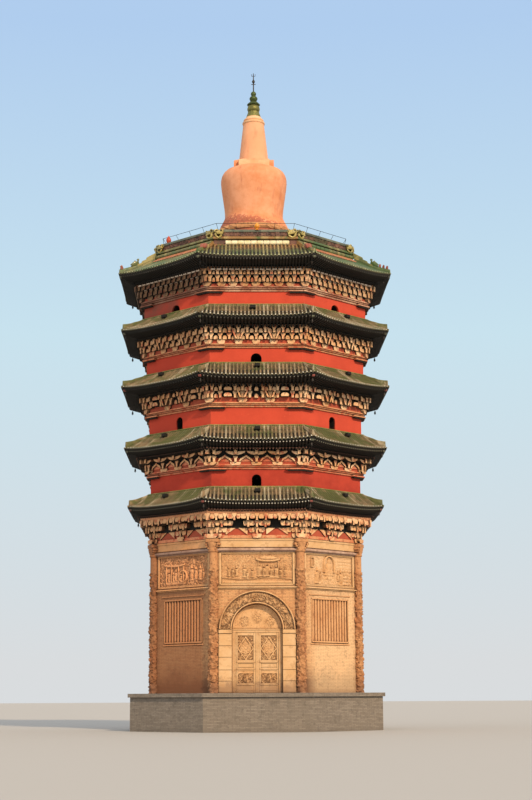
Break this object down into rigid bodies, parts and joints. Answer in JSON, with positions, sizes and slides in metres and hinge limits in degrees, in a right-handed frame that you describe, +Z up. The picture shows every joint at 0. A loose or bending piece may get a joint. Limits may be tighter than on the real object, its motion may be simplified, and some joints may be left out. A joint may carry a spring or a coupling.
{
  "type": "octagonal brick pagoda",
  "caption": "Octagonal brick pagoda with tiled roof skirts on bracket courses, arched blind doors, and a bottle-shaped stupa with a metal finial on its roof deck.",
  "frame": {"origin": "on the ground under the middle of the plinth", "axes": "+Z up, the front face with the pictured blind door looks along -Y, +X to its right seen from the front"},
  "size_m": [15.46, 15.46, 38.65],
  "materials": {
    "grey_brick": "weathered grey-brown brick",
    "tan_brick": "sun-warmed tan brick",
    "carved_stone": "carved brick and stone relief",
    "red_plaster": "flat red limewash on plaster",
    "bracket_brick": "moulded ochre brick",
    "roof_tile": "grey-brown tile with moss",
    "floor_brick": "grey paving brick",
    "glazed_tile": "glazed yellow, green and brown tile",
    "peach_plaster": "stained peach plaster",
    "bronze": "green-brown bronze with worn gilding",
    "iron": "dull wrought iron"
  },
  "bodies": {
    "root": {"plinth": "grey_brick", "ground_wall": "tan_brick", "corner_column_1": "tan_brick", "corner_column_2": "tan_brick", "corner_column_3": "tan_brick", "corner_column_4": "tan_brick", "corner_column_5": "tan_brick", "corner_column_6": "tan_brick", "corner_column_7": "tan_brick", "corner_column_8": "tan_brick", "door_arch_front": "carved_stone", "door_arch_right": "carved_stone", "door_arch_back": "carved_stone", "door_arch_left": "carved_stone", "blind_door_front": "carved_stone", "blind_door_right": "carved_stone", "doorway_back": "carved_stone", "blind_door_left": "carved_stone", "lattice_window_front_right": "tan_brick", "lattice_window_back_right": "tan_brick", "lattice_window_back_left": "tan_brick", "lattice_window_front_left": "tan_brick", "architrave": "carved_stone", "bracket_course_1": "bracket_brick", "roof_skirt_1": "roof_tile", "wall_2": "red_plaster", "floor_2": "floor_brick", "bracket_course_2": "bracket_brick", "roof_skirt_2": "roof_tile", "wall_3": "red_plaster", "floor_3": "floor_brick", "bracket_course_3": "bracket_brick", "roof_skirt_3": "roof_tile", "wall_4": "red_plaster", "floor_4": "floor_brick", "bracket_course_4": "bracket_brick", "roof_skirt_4": "roof_tile", "wall_5": "red_plaster", "floor_5": "floor_brick", "bracket_course_5": "bracket_brick", "roof_skirt_5": "roof_tile", "roof_deck": "floor_brick", "parapet": "glazed_tile", "deck_rail": "iron", "stupa_bell": "peach_plaster", "stupa_collar": "peach_plaster", "stupa_cone": "peach_plaster", "finial_crown": "bronze", "finial_rod": "iron"}
  },
  "joints": []
}
